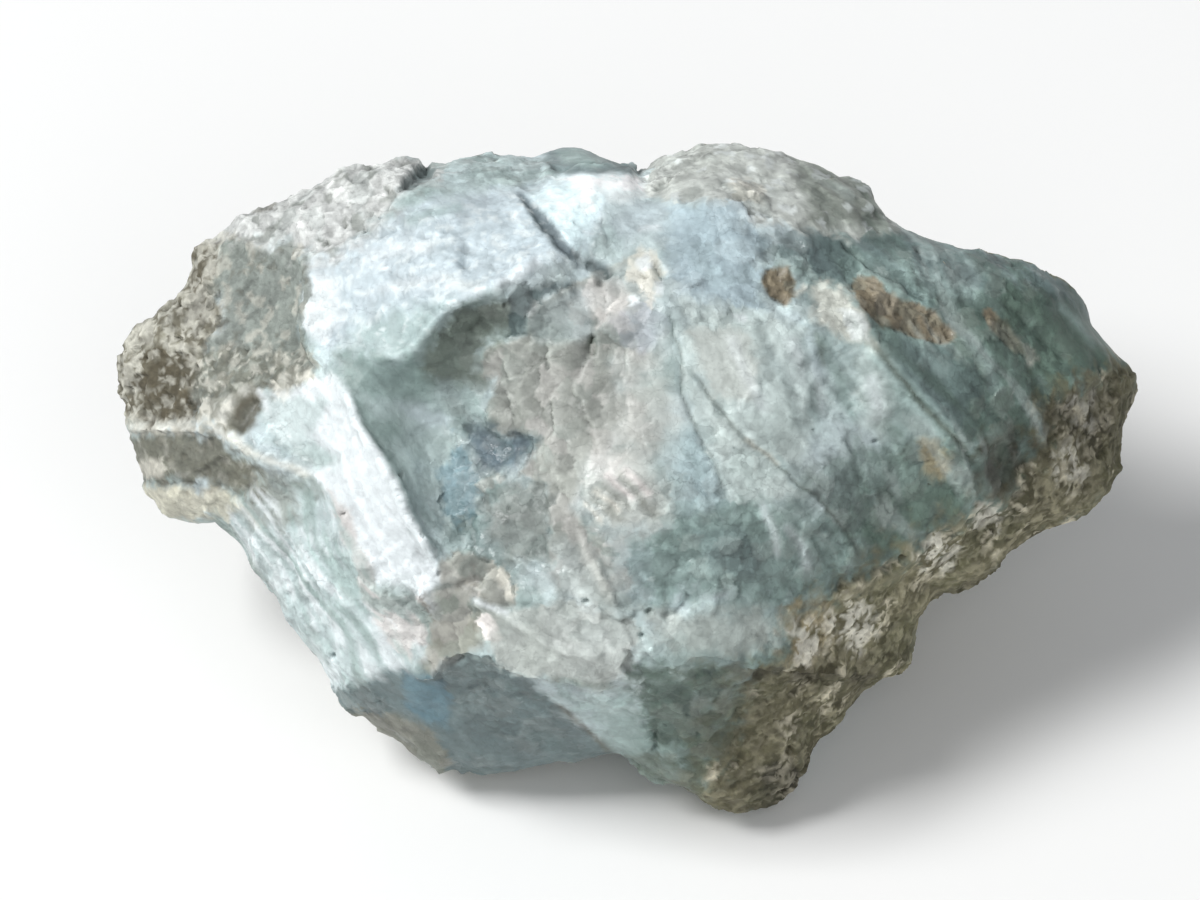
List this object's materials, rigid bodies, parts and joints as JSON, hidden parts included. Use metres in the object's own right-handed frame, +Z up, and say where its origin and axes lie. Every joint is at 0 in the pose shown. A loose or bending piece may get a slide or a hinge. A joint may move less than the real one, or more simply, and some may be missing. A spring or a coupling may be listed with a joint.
{
  "type": "rough larimar stone",
  "caption": "Rough larimar: a long broken lump of pale blue pectolite with basalt matrix at one end and a brown crust along the other, lying on a small flat spot.",
  "frame": {"origin": "on the ground, under the middle of the stone's overall box", "axes": "+X along the stone's length, towards its brown crusted end; +Z up; the broad blue face looks up and towards -Y"},
  "size_m": [0.103, 0.0562, 0.0528],
  "materials": {
    "larimar": "broken pale blue and white pectolite with a waxy sheen, matt grey basalt at the left end, brown mottled crust at the right"
  },
  "bodies": {
    "root": {"larimar_stone": "larimar"}
  },
  "joints": []
}
